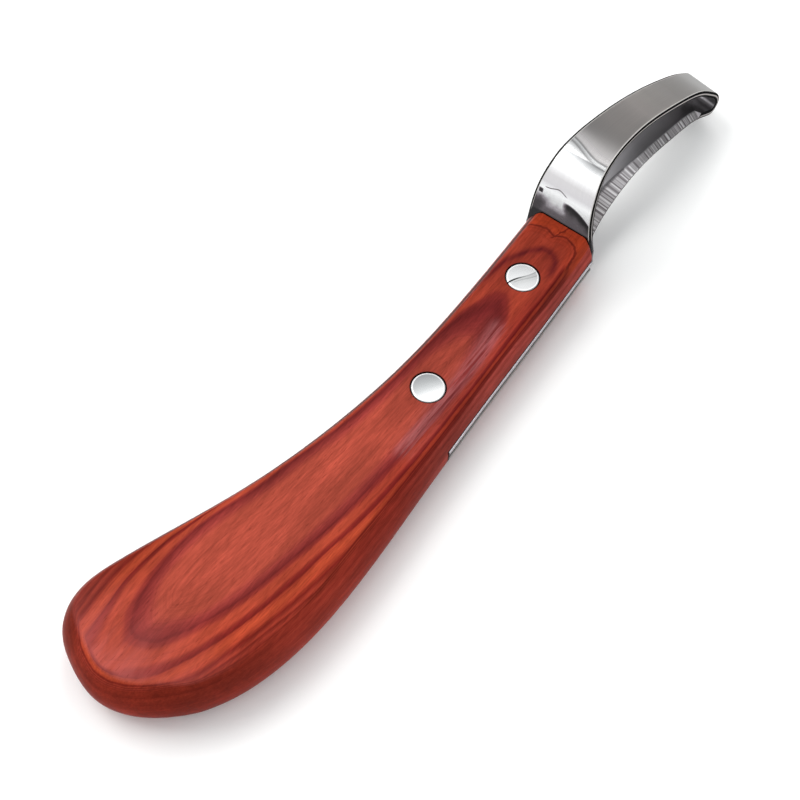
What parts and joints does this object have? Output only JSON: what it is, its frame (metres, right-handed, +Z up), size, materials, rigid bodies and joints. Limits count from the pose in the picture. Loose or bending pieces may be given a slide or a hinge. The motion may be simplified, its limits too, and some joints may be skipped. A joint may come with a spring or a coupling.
{
  "type": "loop hoof knife",
  "caption": "Hoof trimming knife: a stainless strip bent into an upswept closed loop, riveted in a slotted, palm-shaped laminated wood handle",
  "frame": {"origin": "middle of the bounding box, on the surface the knife lies on", "axes": "+X along the handle towards the loop's nose, +Z up out of the handle's upper face, +Y to the side the palm leans to"},
  "size_m": [0.2152, 0.0438, 0.0355],
  "materials": {
    "handle_wood": "satin resin-laminated hardwood, orange-red to maroon bands",
    "blade_steel": "fine brushed, polished near the handle, ground along the cutting edge",
    "rivet_steel": "polished"
  },
  "bodies": {
    "root": {"handle": "handle_wood", "loop_blade": "blade_steel", "front_rivet_barrel": "rivet_steel", "front_rivet_pin": "rivet_steel", "rear_rivet_barrel": "rivet_steel", "rear_rivet_pin": "rivet_steel"}
  },
  "joints": []
}
